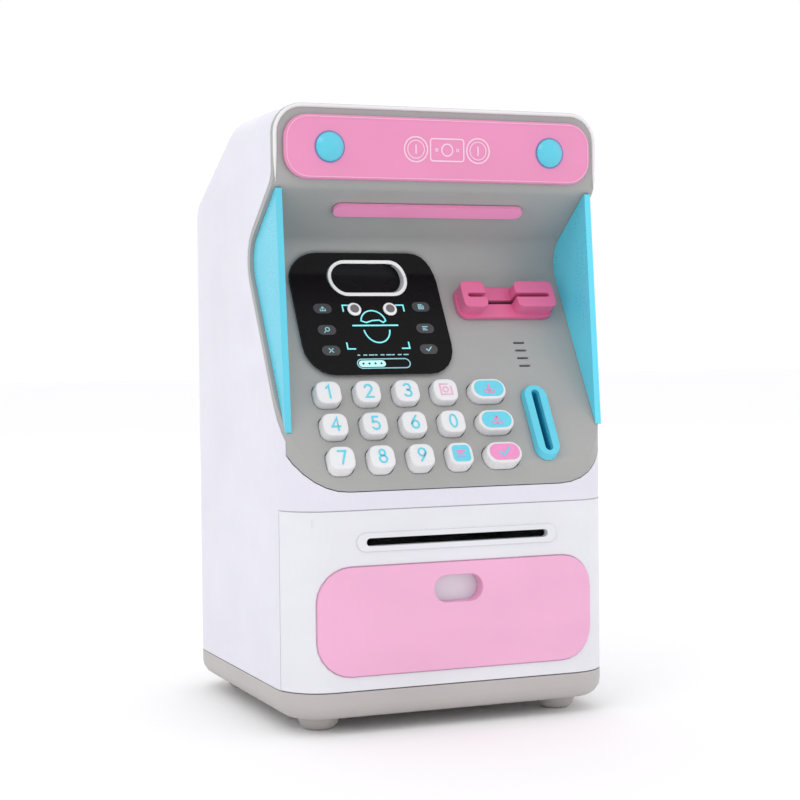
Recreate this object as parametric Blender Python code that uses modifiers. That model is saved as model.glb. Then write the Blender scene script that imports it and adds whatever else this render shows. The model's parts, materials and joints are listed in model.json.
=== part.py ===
"""A toy cash-machine savings bank, modelled as separate pieces in metres, +Z up, front facing -Y.

Lengths below are millimetres. A point is (x, d, z): x runs to the viewer's right, d is the
depth behind the door's front face, and z is the height above the table.
"""

from math import asin, cos, degrees, pi, radians, sin

import bmesh
import bpy
from mathutils import Matrix, Vector

MM = 0.001

# Overall size. DOOR_FACE_Y centres the whole object, keys and battery cover included, on y = 0
WIDTH = 130.0
DEPTH = 128.0
HEIGHT = 228.0
DOOR_FACE_Y = -62.305
HALF = WIDTH / 2
WALL = 2.4
GAP = 0.3
CORNER_R = 16.8
TOP_R = 11.0
ROOF_BREAK = (69.0, HEIGHT)
BACK_BREAK = (DEPTH, 198.0)

# How far a cutter reaches past the piece it cuts
PAST = 12.0
ACROSS = (-HALF - 5.0, HALF + 5.0)

# Front profile of the fascia: hood, ceiling of the recess, keypad slope, lower front
HOOD_D = 13.5
HOOD_EDGE_Z = 199.5
RECESS = (46.5, 175.0)
SLOPE_FOOT = (0.0, 96.1)
FASCIA_BOTTOM = 88.0
FASCIA_T = 2.4
FASCIA_LOW_R = 23.0
FASCIA_WRAP_D = 8.8
FASCIA_WRAP_TOP = 112.0

# Sign across the hood, seen from the front: x and z, and the lamp at each end of it
SIGN = (0.0, 212.2)
SIGN_SIZE = (122.8, 23.4)
SIGN_FRONT_D = HOOD_D - 2.5
LAMP_X = 44.2
LIGHT_BAR_D = 24.6
LIGHT_BAR_SIZE = (77.0, 6.0)

# Lower body; FOOT_INSET is how far a foot's centre stands in from the front or back
FOOT_H = 5.2
FOOT_X = 48.4
FOOT_INSET = 18.6
TRAY_BOTTOM = 5.5
TRAY_TOP = 15.7
TRAY_WALL = 3.0
SHELL_BOTTOM = 16.0
DECK_Z = (83.6, 86.0)

# Door; the hinge pin and the latch bolt are at (x, d), everything else is seen from the front
DOOR_BOTTOM = 16.1
DOOR_TOP = 81.0
DOOR_T = 2.6
DOOR_WRAP_D = 13.0
PLATE = (0.0, 41.1)
PLATE_SIZE = (109.3, 39.4)
PLATE_R = 12.5
PULL = (0.0, 51.0)
PULL_SIZE = (20.2, 10.8)
CASH_SLOT = (0.3, 69.5)
CASH_SLOT_SIZE = (72.6, 2.9)
CASH_RING_SIZE = (80.0, 6.8)
HINGE = (59.4, 22.0)
HINGE_LUG_R = 2.6
PIN_R = 1.2
RUNNING = 0.1
LATCH = (-50.0, 24.0)
KEEPER_Z = (75.6, 78.2)
BOLT_Z = (79.4, 101.0)
BOLT_HALF = 2.2

# Keypad grid on the slope: x of each column, distance up the slope of each row
KEY_COLUMNS = [-45.3, -29.9, -14.5, 0.9]
WIDE_COLUMN = 18.4
KEY_ROWS = [29.65, 16.35, 2.85]
KEY_SIZE = (10.4, 10.0)
WIDE_KEY_SIZE = (15.4, 9.4)
KEY_TOP = 4.0
KEY_LOW = -4.4
KEY_TAPER = 0.94
KEY_ROOM = 0.15
KEY_NAMES = [["1", "2", "3", "menu"], ["4", "5", "6", "0"], ["7", "8", "9", "info"]]
WIDE_KEY_NAMES = ["deposit", "withdraw", "enter"]

# Features on the slope: (x, distance up the slope)
COIN = (37.6, 16.2)
COIN_SIZE = (9.6, 31.6)
COIN_SLOT = (3.2, 26.0)
NOTE = (35.1, 68.8)
NOTE_SIZE = (40.4, 13.6)
NOTE_SLOT = (34.6, 1.8)
NOTE_HOODS_H = 7.6
SPEAKER = (38.0, 46.5)
SLIT_SIZE = (4.8, 0.9)
SLIT_STEP = 3.4

# Display panel and its scanner window, seen from the front: x and z
PANEL_X = (-50.6, 8.9)
PANEL_Z = (129.4, 175.4)
WINDOW = (-19.4, 165.8)
WINDOW_SIZE = (32.0, 13.8)
BEZEL_T = 1.3
BEZEL_H = 2.0
LENS_SUNK = 0.9
EYES_X = (-27.6, -13.2)
EYES_S = 65.9

# Rear, seen from the front: x and z
BATTERY = (0.0, 125.0)
COVER_SIZE = (64.0, 58.0)
SWITCH = (46.0, 125.0)
SWITCH_OPENING = (11.0, 5.6)

# Note drive: (d, z) of each axis, and the openings in the deck that the chutes stand over
DRIVE = (42.9, 145.1)
IDLER = (47.8, 153.4)
MOTOR = (48.9, 134.7)
ROLLER_R = 4.6
ROLLER_X = (20.0, 50.0)
SHAFT_R = 1.0
GEAR_TEETH = 30
PINION_TEETH = 10
TOOTH_MODULE = 0.6
GEAR_X = (9.6, 12.0)
NOTE_WELL = ((16.6, 53.4), (62.6, 81.4))
CHUTE_WALL = 1.6

SEGMENTS = 28

COLORS = {
    "shell_white": ((0.82, 0.81, 0.87), 0.35),
    "door_white": ((0.84, 0.84, 0.87), 0.32),
    "fascia_grey": ((0.42, 0.42, 0.41), 0.42),
    "tray_grey": ((0.50, 0.49, 0.46), 0.45),
    "panel_pink": ((0.86, 0.42, 0.62), 0.35),
    "sign_pink": ((0.80, 0.30, 0.50), 0.35),
    "inlet_pink": ((0.85, 0.20, 0.42), 0.35),
    "cyan": ((0.10, 0.60, 0.78), 0.30),
    "key_white": ((0.86, 0.86, 0.87), 0.30),
    "display_black": ((0.008, 0.008, 0.009), 0.12),
    "lens_black": ((0.02, 0.02, 0.022), 0.10),
    "board_green": ((0.03, 0.20, 0.08), 0.45),
    "rubber_dark": ((0.06, 0.06, 0.065), 0.75),
    "steel": ((0.62, 0.62, 0.64), 0.25),
    "battery_jacket": ((0.10, 0.25, 0.45), 0.35),
    "brass": ((0.70, 0.52, 0.22), 0.30),
}
METALS = ("steel", "brass")


# ---------------------------------------------------------------- scene helpers

def clear_scene():
    """Start from an empty scene."""
    for old in list(bpy.data.objects):
        bpy.data.objects.remove(old)


def new_collection(name):
    """A collection linked to the scene."""
    made = bpy.data.collections.new(name)
    bpy.context.scene.collection.children.link(made)
    return made


clear_scene()
PARTS = new_collection("toy_cash_machine_bank")
TOOLS = new_collection("cutters")
TOOLS.hide_render = True


def material(name):
    """One Principled material per node, coloured from COLORS."""
    color, roughness = COLORS[name]
    made = bpy.data.materials.new(name)
    made.use_nodes = True
    shader = made.node_tree.nodes["Principled BSDF"]
    shader.inputs["Base Color"].default_value = (*color, 1.0)
    shader.inputs["Roughness"].default_value = roughness
    shader.inputs["Metallic"].default_value = 1.0 if name in METALS else 0.0
    return made


def add(name, mesh, color, origin=(0.0, 0.0, 0.0)):
    """Add a mesh as a node; its origin is moved to the given point."""
    shift = Vector(origin) * MM
    mesh.transform(Matrix.Translation(-shift))
    piece = bpy.data.objects.new(name, mesh)
    piece.location = shift
    PARTS.objects.link(piece)
    piece.data.materials.append(material(color))
    return piece


def tool(*meshes):
    """Join separate solids into one hidden helper object for a Boolean."""
    joined = bmesh.new()
    for mesh in meshes:
        joined.from_mesh(mesh)
    data = bpy.data.meshes.new("tool")
    joined.to_mesh(data)
    joined.free()
    helper = bpy.data.objects.new("tool", data)
    helper.hide_render = True
    helper.display_type = "WIRE"
    TOOLS.objects.link(helper)
    return helper


def boolean(piece, helper, operation):
    """Combine a piece with a helper object."""
    step = piece.modifiers.new(operation.lower(), "BOOLEAN")
    step.solver = "EXACT"
    step.operation = operation
    step.object = helper
    return piece


def cut(piece, *meshes):
    """Remove solids, which must not touch each other, from a piece."""
    return boolean(piece, tool(*meshes), "DIFFERENCE")


def join(piece, *meshes):
    """Add solids to a piece one after another."""
    for mesh in meshes:
        boolean(piece, tool(mesh), "UNION")
    return piece


def bevel(piece, width, segments=2, angle=50):
    """Round every edge sharper than an angle."""
    step = piece.modifiers.new("bevel", "BEVEL")
    step.width = width * MM
    step.segments = segments
    step.limit_method = "ANGLE"
    step.angle_limit = radians(angle)
    return piece


# ---------------------------------------------------------------- outlines

def arc(center, radius, start, stop, count):
    """Points on an arc, angles in degrees."""
    points = []
    for i in range(count + 1):
        angle = radians(start + (stop - start) * i / count)
        points.append((center[0] + radius * cos(angle), center[1] + radius * sin(angle)))
    return points


def rounded_rect(center, size, radius, count=5):
    """A rectangle with rounded corners, counter-clockwise."""
    across, up = size[0] / 2 - radius, size[1] / 2 - radius
    corners = [(across, up, 0), (-across, up, 90), (-across, -up, 180), (across, -up, 270)]
    points = []
    for u, v, start in corners:
        points += arc((center[0] + u, center[1] + v), radius, start, start + 90, count)
    return points


def pill(center, size, count=8):
    """A stadium: a rounded rectangle whose short ends are half circles."""
    return rounded_rect(center, size, min(size) / 2 - 0.001, count)


def rectangle(u, v):
    """A rectangle from its two ranges."""
    return [(u[0], v[0]), (u[1], v[0]), (u[1], v[1]), (u[0], v[1])]


def square(center, half):
    """A square from its centre and half its side."""
    u, v = center
    return rectangle((u - half, u + half), (v - half, v + half))


def grown(size, margin):
    """A size with a margin added on every side."""
    return (size[0] + 2 * margin, size[1] + 2 * margin)


def fillet(points, radii, count=7):
    """Round the inner corners of an open path."""
    path = [points[0]]
    for before, corner, after, radius in zip(points, points[1:], points[2:], radii):
        corner = Vector(corner)
        back = (Vector(before) - corner).normalized()
        on = (Vector(after) - corner).normalized()
        half_angle = back.angle(on) / 2
        middle = (back + on).normalized()
        center = corner + middle * (radius / sin(half_angle))
        reach = radius * cos(half_angle) / sin(half_angle)
        first = corner + back * reach - center
        last = corner + on * reach - center
        for i in range(count + 1):
            spoke = first.lerp(last, i / count).normalized() * radius
            path.append(tuple(center + spoke))
    path.append(points[-1])
    return path


def offset(path, distance):
    """Shift an open path to its left by a distance, mitring its corners."""
    normals = []
    for here, there in zip(path, path[1:]):
        run = (Vector(there) - Vector(here)).normalized()
        normals.append(Vector((-run.y, run.x)))
    moved = []
    for i, point in enumerate(path):
        before = normals[max(i - 1, 0)]
        after = normals[min(i, len(normals) - 1)]
        middle = (before + after).normalized()
        moved.append(tuple(Vector(point) + middle * (distance / middle.dot(after))))
    return moved


FRONT_PROFILE = fillet(
    [(HOOD_D, HEIGHT), (HOOD_D, HOOD_EDGE_Z), RECESS, SLOPE_FOOT, (0.0, FASCIA_BOTTOM)],
    [9.0, 12.0, 8.0],
)


def front_band(outer, inner, x=(-HALF, HALF)):
    """A sheet that follows the front profile between two depths behind it."""
    outline = offset(FRONT_PROFILE, outer) + offset(FRONT_PROFILE, inner)[::-1]
    return prism(outline, x, SIDE)


def plan_front(inset, depth):
    """The front of the body seen from above, from the left end at a depth to the right end."""
    radius = CORNER_R - inset
    start = degrees(asin((CORNER_R - depth) / radius))
    left = arc((CORNER_R - HALF, CORNER_R), radius, 180 + start, 270, 6)
    right = [(-x, d) for x, d in left[::-1]]
    return left + right


# ---------------------------------------------------------------- solids

def frame(origin, u, v, w):
    """A matrix whose columns are three directions and an origin, from (x, d, z) points."""
    matrix = Matrix((u, v, w)).transposed().to_4x4()
    matrix.translation = Vector(origin) + Vector((0.0, DOOR_FACE_Y, 0.0))
    return matrix


SIDE = frame((0, 0, 0), (0, 1, 0), (0, 0, 1), (1, 0, 0))
FACE = frame((0, 0, 0), (1, 0, 0), (0, 0, 1), (0, 1, 0))
PLAN = frame((0, 0, 0), (1, 0, 0), (0, 1, 0), (0, 0, 1))
_UP_SLOPE = (Vector(RECESS) - Vector(SLOPE_FOOT)).normalized()
UP = Vector((0.0, _UP_SLOPE.x, _UP_SLOPE.y))
OUT = Vector((0.0, -_UP_SLOPE.y, _UP_SLOPE.x))
SLOPE = frame((0, SLOPE_FOOT[0], SLOPE_FOOT[1]), (1, 0, 0), UP, OUT)
_INTO_RECESS = (Vector(RECESS) - Vector((HOOD_D, HOOD_EDGE_Z))).normalized()
CEILING = frame(
    (0, LIGHT_BAR_D, HOOD_EDGE_Z + (LIGHT_BAR_D - HOOD_D) * _INTO_RECESS.y / _INTO_RECESS.x),
    (1, 0, 0),
    (0, _INTO_RECESS.x, _INTO_RECESS.y),
    (0, _INTO_RECESS.y, -_INTO_RECESS.x),
)


def place_solid(solid, plane, mesh):
    """Move a solid from its plane's millimetres into the scene, facing outwards, and store it."""
    solid.transform(Matrix.Scale(MM, 4) @ plane)
    bmesh.ops.recalc_face_normals(solid, faces=solid.faces)
    if solid.calc_volume(signed=True) < 0:
        bmesh.ops.reverse_faces(solid, faces=solid.faces)
    solid.to_mesh(mesh)
    solid.free()


def prism(outline, span, plane, top_scale=1.0):
    """Extrude a closed outline through a span along the plane's third direction, tapered or not."""
    solid = bmesh.new()
    face = solid.faces.new([solid.verts.new((u, v, span[0])) for u, v in outline])
    made = bmesh.ops.extrude_face_region(solid, geom=[face])["geom"]
    top = [part for part in made if isinstance(part, bmesh.types.BMVert)]
    middle = sum((Vector(p) for p in outline), Vector((0, 0))) / len(outline)
    for vert in top:
        vert.co.x = middle.x + (vert.co.x - middle.x) * top_scale
        vert.co.y = middle.y + (vert.co.y - middle.y) * top_scale
        vert.co.z = span[1]
    mesh = bpy.data.meshes.new("solid")
    place_solid(solid, plane, mesh)
    return mesh


def turned(profile, plane, steps=SEGMENTS):
    """A solid of revolution about the plane's third direction; the profile is (radius, height)."""
    line = bpy.data.meshes.new("profile")
    points = [(radius, 0.0, height) for radius, height in profile]
    line.from_pydata(points, [(i, i + 1) for i in range(len(points) - 1)], [])
    maker = bpy.data.objects.new("maker", line)
    TOOLS.objects.link(maker)
    screw = maker.modifiers.new("screw", "SCREW")
    screw.steps = steps
    screw.render_steps = steps
    screw.use_merge_vertices = True
    screw.merge_threshold = 0.0001
    graph = bpy.context.evaluated_depsgraph_get()
    mesh = bpy.data.meshes.new_from_object(maker.evaluated_get(graph))
    bpy.data.objects.remove(maker)
    solid = bmesh.new()
    solid.from_mesh(mesh)
    bmesh.ops.remove_doubles(solid, verts=solid.verts, dist=0.0001)
    for face in solid.faces:
        face.smooth = True
    place_solid(solid, plane, mesh)
    mesh.set_sharp_from_angle(angle=radians(35))
    return mesh


def rod(radius, span, plane, steps=SEGMENTS):
    """A plain cylinder."""
    low, high = span
    return turned([(0, high), (radius, high), (radius, low), (0, low)], plane, steps)


def moved(plane, u=0.0, v=0.0, w=0.0):
    """The same plane with its origin shifted within itself."""
    return plane @ Matrix.Translation((u, v, w))


def along_x(d, z):
    """A frame whose third direction is the X axis through (d, z)."""
    return moved(SIDE, d, z)


# ---------------------------------------------------------------- outer body

def corner_tools(inset):
    """What lies outside the two rounded front corners, seen from above."""
    radius = CORNER_R - inset
    outline = arc((HALF - CORNER_R, CORNER_R), radius, 0, -90, 8)
    outline += [(HALF - CORNER_R, -PAST), (HALF + PAST, -PAST), (HALF + PAST, CORNER_R)]
    mirrored = [(-x, d) for x, d in outline]
    span = (-PAST, HEIGHT + PAST)
    return [prism(outline, span, PLAN), prism(mirrored, span, PLAN)]


def outside_corner(center, radius, start, up):
    """What lies outside one rounded corner at the viewer's right, seen from the front."""
    x, z = center
    side = [(HALF + PAST, z), (HALF + PAST, z + up * (radius + PAST)), (x, z + up * (radius + PAST))]
    path = arc(center, radius, start, start + 90, 8)
    return path + (side if up < 0 else side[::-1])


def fascia_corner_tools(grow, top):
    """What lies outside the fascia's rounded corners, seen from the front."""
    low_center = (HALF - FASCIA_LOW_R, FASCIA_BOTTOM + FASCIA_LOW_R)
    outlines = [outside_corner(low_center, FASCIA_LOW_R + grow, -90, -1)]
    if top:
        outlines.append(outside_corner((HALF - TOP_R, HEIGHT - TOP_R), TOP_R, 0, 1))
    solids = []
    for shape in outlines:
        solids.append(prism(shape, (-PAST, DEPTH), FACE))
        solids.append(prism([(-x, z) for x, z in shape], (-PAST, DEPTH), FACE))
    return solids


def envelope(inset, bottom):
    """The body's outer form, or the same form shrunk by a wall, with its rear edges marked to round."""
    front = offset(FRONT_PROFILE, inset)
    front[0] = (front[0][0], HEIGHT - inset)
    back_top, roof_back = offset([(DEPTH, 0.0), BACK_BREAK, ROOF_BREAK, (HOOD_D, HEIGHT)], inset)[1:3]
    back_foot = (DEPTH - inset, bottom)
    outline = front + [(inset, bottom), back_foot, back_top, roof_back]
    mesh = prism(outline, (inset - HALF, HALF - inset), SIDE)
    share = {
        frozenset((back_foot, back_top)): 1.0,
        frozenset((back_top,)): TOP_R / CORNER_R,
        frozenset((back_top, roof_back)): TOP_R / CORNER_R,
        frozenset((roof_back,)): TOP_R / CORNER_R,
        frozenset((roof_back, front[0])): TOP_R / CORNER_R,
    }
    marked = bmesh.new()
    marked.from_mesh(mesh)
    weight = marked.edges.layers.float.new("bevel_weight_edge")
    for edge in marked.edges:
        ends = frozenset(nearest(vert.co, outline) for vert in edge.verts)
        edge[weight] = share.get(ends, 0.0)
    marked.to_mesh(mesh)
    marked.free()
    return mesh


def nearest(place, outline):
    """The outline's (d, z) point that a vertex of its prism stands on."""
    here = Vector((place.y / MM - DOOR_FACE_Y, place.z / MM))
    return min(outline, key=lambda point: (Vector(point) - here).length)


def round_envelope(piece, inset):
    """Round the marked rear edges, then the front corners."""
    step = piece.modifiers.new("round", "BEVEL")
    step.limit_method = "WEIGHT"
    step.width = (CORNER_R - inset) * MM
    step.segments = 5
    piece.modifiers.new("faces", "TRIANGULATE")
    boolean(piece, tool(*corner_tools(inset)), "DIFFERENCE")


def fascia_seats():
    """What the shell gives up to the fascia: all ahead of its back, and all ahead of its wrapped edge."""
    line = offset(FRONT_PROFILE, FASCIA_T + GAP)
    low, high = FASCIA_BOTTOM - GAP, HEIGHT + PAST
    sheet = [(line[0][0], high)] + line[1:-1] + [(line[-1][0], low), (-PAST, low), (-PAST, high)]
    wrap = rectangle((-PAST, FASCIA_WRAP_D + GAP), (low, FASCIA_WRAP_TOP))
    seats = []
    for outline in (sheet, wrap):
        seat = tool(prism(outline, ACROSS, SIDE))
        seats.append(boolean(seat, tool(*fascia_corner_tools(GAP, False)), "DIFFERENCE"))
    return seats


def body_shell():
    """The white housing, open below and where the fascia, the door, the cover and the switch sit."""
    shell = add("body_shell", envelope(0.0, SHELL_BOTTOM), "shell_white")
    round_envelope(shell, 0.0)
    cavity = tool(envelope(WALL, SHELL_BOTTOM - WALL))
    round_envelope(cavity, WALL)
    boolean(shell, cavity, "DIFFERENCE")
    for seat in fascia_seats():
        boolean(shell, seat, "DIFFERENCE")
    cut(shell, prism(rectangle((-PAST, DOOR_WRAP_D + GAP), (0, DOOR_TOP + GAP)), ACROSS, SIDE))
    through_back = (DEPTH - 8, DEPTH + 8)
    cut(
        shell,
        prism(rounded_rect(BATTERY, grown(COVER_SIZE, GAP), 5.3), through_back, FACE),
        prism(rounded_rect(SWITCH, SWITCH_OPENING, 0.4, 1), through_back, FACE),
    )


def body_plan(inset):
    """The body seen from above, shrunk by an inset."""
    size = (WIDTH - 2 * inset, DEPTH - 2 * inset)
    return rounded_rect((0, DEPTH / 2), size, CORNER_R - inset, 6)


def base_tray():
    """The grey tray below the body, with the lower boss of the door's hinge."""
    tray = add("base_tray", prism(body_plan(0.0), (TRAY_BOTTOM, TRAY_TOP), PLAN), "tray_grey")
    round_bottom(tray, TRAY_BOTTOM, 6.0)
    cut(tray, prism(body_plan(TRAY_WALL), (TRAY_BOTTOM + WALL, TRAY_TOP + PAST), PLAN))
    boss = moved(PLAN, *HINGE)
    join(tray, rod(HINGE_LUG_R, (TRAY_BOTTOM + 1.5, 17.2), boss))
    cut(tray, rod(PIN_R + RUNNING, (11.0, 20.0), boss))


def round_bottom(piece, height, width):
    """Round the edges of a prism's lowest face with a weighted bevel."""
    mesh = bmesh.new()
    mesh.from_mesh(piece.data)
    weight = mesh.edges.layers.float.new("bevel_weight_edge")
    for edge in mesh.edges:
        if max(vert.co.z for vert in edge.verts) < (height + 0.1) * MM:
            edge[weight] = 1.0
    mesh.to_mesh(piece.data)
    mesh.free()
    step = piece.modifiers.new("round", "BEVEL")
    step.limit_method = "WEIGHT"
    step.width = width * MM
    step.segments = 4


def feet():
    """Four domed feet, flat underneath."""
    profile = [(0, FOOT_H), (7.8, FOOT_H), (7.6, 3.4), (6.9, 1.7), (5.6, 0.5), (4.6, 0.0), (0, 0.0)]
    for side, x in (("left", -FOOT_X), ("right", FOOT_X)):
        for end, d in (("front", FOOT_INSET), ("rear", DEPTH - FOOT_INSET)):
            add(f"foot_{end}_{side}", turned(profile, moved(PLAN, x, d)), "tray_grey")


def deck():
    """The shelf above the money compartment, with openings for notes, coins and the latch."""
    shelf = add("deck", prism(body_plan(WALL + GAP), DECK_Z, PLAN), "tray_grey")
    boss = moved(PLAN, *HINGE)
    join(shelf, rod(HINGE_LUG_R, (79.4, 84.6), boss))
    through = (DECK_Z[0] - 3, DECK_Z[1] + 3)
    cut(
        shelf,
        rod(PIN_R + RUNNING, (75.0, 84.9), boss),
        prism(rectangle(*NOTE_WELL), through, PLAN),
        prism(rectangle((COIN[0] - 3.0, COIN[0] + 2.6), (9.4, 28.6)), through, PLAN),
        prism(square(LATCH, BOLT_HALF + 0.4), through, PLAN),
    )


# ---------------------------------------------------------------- fascia and what it carries

def key_places():
    """(name, x, up the slope, size) of every key."""
    places = []
    for row, names, wide_name in zip(KEY_ROWS, KEY_NAMES, WIDE_KEY_NAMES):
        for x, name in zip(KEY_COLUMNS, names):
            places.append((name, x, row, KEY_SIZE))
        places.append((wide_name, WIDE_COLUMN, row, WIDE_KEY_SIZE))
    return places


def key_outline(center, size, grow=0.0):
    """A key seen from above, or the hole it moves in."""
    radius = 4.6 if size == WIDE_KEY_SIZE else 3.4
    return rounded_rect(center, grown(size, grow), radius + grow, 4)


def fascia_wraps():
    """The fascia's lower edge where it turns round the body's two front corners."""
    center = (CORNER_R - HALF, CORNER_R)
    radius = CORNER_R - FASCIA_T
    end = 180 + degrees(asin((CORNER_R - FASCIA_WRAP_D) / radius))
    outline = [(-HALF, FASCIA_WRAP_D), (-HALF, 0.0), (center[0], 0.0)] + arc(center, radius, 270, end, 6)
    mirrored = [(-x, d) for x, d in outline]
    span = (FASCIA_BOTTOM, FASCIA_WRAP_TOP)
    return [prism(outline, span, PLAN), prism(mirrored, span, PLAN)]


def front_fascia():
    """The grey moulding that forms the hood, the recess and the keypad slope."""
    fascia = add("front_fascia", front_band(0.0, FASCIA_T), "fascia_grey")
    join(fascia, *fascia_wraps())
    ahead = FRONT_PROFILE + [(-PAST, FASCIA_BOTTOM), (-PAST, HEIGHT)]
    cut(fascia, prism(ahead, ACROSS, SIDE))
    boolean(fascia, tool(*corner_tools(0.0)), "DIFFERENCE")
    boolean(fascia, tool(*fascia_corner_tools(0.0, True)), "DIFFERENCE")
    through = (-9.0, 5.0)
    holes = []
    for _, x, s, size in key_places():
        holes.append(prism(key_outline((x, s), size, KEY_ROOM), through, SLOPE))
    holes.append(prism(pill(COIN, grown(COIN_SLOT, GAP), 4), through, SLOPE))
    holes.append(prism(pill(NOTE, grown(NOTE_SLOT, GAP), 4), through, SLOPE))
    for i in range(4):
        slit = (SPEAKER[0], SPEAKER[1] + (i - 1.5) * SLIT_STEP)
        holes.append(prism(pill(slit, SLIT_SIZE, 3), through, SLOPE))
    holes.append(prism(pill(WINDOW, grown(WINDOW_SIZE, GAP)), (20, 60), FACE))
    cut(fascia, *holes)


def sign_panel():
    """The pink sign across the hood and the two round lamps on it."""
    outline = rounded_rect(SIGN, SIGN_SIZE, 9.0, 6)
    sign = add("sign_panel", prism(outline, (SIGN_FRONT_D, HOOD_D - GAP), FACE), "sign_pink")
    bevel(sign, 0.8)
    lens = [(0, 2.4), (2.4, 2.1), (4.0, 1.3), (5.0, 0.4), (5.4, 0.0), (0, 0.0)]
    for side, x in (("left", -LAMP_X), ("right", LAMP_X)):
        place = frame((x, SIGN_FRONT_D - GAP, SIGN[1]), (1, 0, 0), (0, 0, 1), (0, -1, 0))
        add(f"sign_lamp_{side}", turned(lens, place), "cyan")


def ceiling_light_bar():
    """The pink bar under the hood."""
    bar = add("ceiling_light_bar", prism(pill((0, 0), LIGHT_BAR_SIZE), (GAP, 1.8), CEILING), "sign_pink")
    bevel(bar, 0.4, 1)


def display_outline():
    """The black panel seen from the front."""
    middle = ((PANEL_X[0] + PANEL_X[1]) / 2, (PANEL_Z[0] + PANEL_Z[1]) / 2)
    size = (PANEL_X[1] - PANEL_X[0], PANEL_Z[1] - PANEL_Z[0])
    return rounded_rect(middle, size, 11.0, 6)


def display():
    """The black panel that follows the recess, its window, and the scanner's two eyes."""
    panel = add("display_panel", front_band(-1.5, -GAP, (-60.0, 20.0)), "display_black")
    boolean(panel, tool(prism(display_outline(), (0, 60), FACE)), "INTERSECT")
    cut(panel, prism(pill(WINDOW, grown(WINDOW_SIZE, GAP)), (20, 60), FACE))

    bezel = add("window_bezel", prism(pill(WINDOW, WINDOW_SIZE), (30, 49.0), FACE), "key_white")
    cut(bezel, prism(pill(WINDOW, grown(WINDOW_SIZE, -BEZEL_T)), (25, 55), FACE))
    boolean(bezel, tool(front_band(-BEZEL_H, 20.0, (-60, 20))), "INTERSECT")
    outline = pill(WINDOW, grown(WINDOW_SIZE, -BEZEL_T - GAP))
    lens = add("window_lens", front_band(LENS_SUNK, LENS_SUNK + WALL, (-60, 20)), "lens_black")
    boolean(lens, tool(prism(outline, (20, 60), FACE)), "INTERSECT")

    eye = [(0, 0.6), (1.9, 0.6), (2.7, 0.4), (2.8, 0.0), (0, 0.0)]
    for side, x in zip(("left", "right"), EYES_X):
        place = moved(SLOPE, x, EYES_S, 1.5 + GAP)
        add(f"eye_led_{side}", turned(eye, place), "key_white")


def note_inlet():
    """The pink plate round the note slot, with two raised blocks that guide a note in."""
    plate = rounded_rect(NOTE, NOTE_SIZE, 4.0, 4)
    inlet = add("note_inlet", prism(plate, (GAP, 2.0), SLOPE), "inlet_pink")
    left = NOTE[0] - NOTE_SIZE[0] / 2 + 5.6
    right = NOTE[0] + NOTE_SIZE[0] / 2 - 8.9
    for x, width in ((left, 10.0), (right, 16.4)):
        block = rounded_rect((x, NOTE[1] + 0.4), (width, 11.6), 2.2, 3)
        join(inlet, prism(block, (1.0, NOTE_HOODS_H), SLOPE))
    cut(inlet, prism(pill(NOTE, NOTE_SLOT, 4), (-3, PAST), SLOPE))


def coin_bezel():
    """The blue ring round the coin slot."""
    bezel = add("coin_slot_bezel", prism(pill(COIN, COIN_SIZE), (GAP, 3.2), SLOPE, 0.94), "cyan")
    bevel(bezel, 0.7)
    cut(bezel, prism(pill(COIN, COIN_SLOT, 4), (-3, 8), SLOPE))


def wings():
    """The two blue side panels that close the sides of the recess."""
    top = (15.2, 197.4)
    foot = Vector(SLOPE_FOOT) + _UP_SLOPE * 15.2 + Vector((-_UP_SLOPE.y, _UP_SLOPE.x)) * GAP
    rear = []
    for d, z in offset(FRONT_PROFILE, -GAP):
        if foot.y < z < top[1]:
            rear.append((d, z))
    outline = [top] + rear + [tuple(foot)]
    for side, span in (("left", (-63.6, -61.2)), ("right", (61.2, 63.6))):
        add(f"wing_{side}", prism(outline, span, SIDE), "cyan")


def keys():
    """Fifteen keys, each with a flange below the fascia that keeps it in."""
    for name, x, s, size in key_places():
        shape = prism(key_outline((x, s), size), (KEY_LOW, KEY_TOP), SLOPE, KEY_TAPER)
        cap = add(f"key_{name}", shape, "key_white", SLOPE @ Vector((x, s, 0.0)))
        bevel(cap, 1.0, 2, 60)
        half = size[0] / 2 + 1.2
        flange = rectangle((x - half, x + half), (s - 3.0, s + 3.0))
        join(cap, prism(flange, (KEY_LOW, KEY_LOW + 1.0), SLOPE))


# ---------------------------------------------------------------- door

def door_band(outer, inner, depth, z):
    """Part of the door's wrapped wall between two depths behind its face."""
    outline = plan_front(outer, depth) + plan_front(inner, depth)[::-1]
    return prism(outline, z, PLAN)


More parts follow.
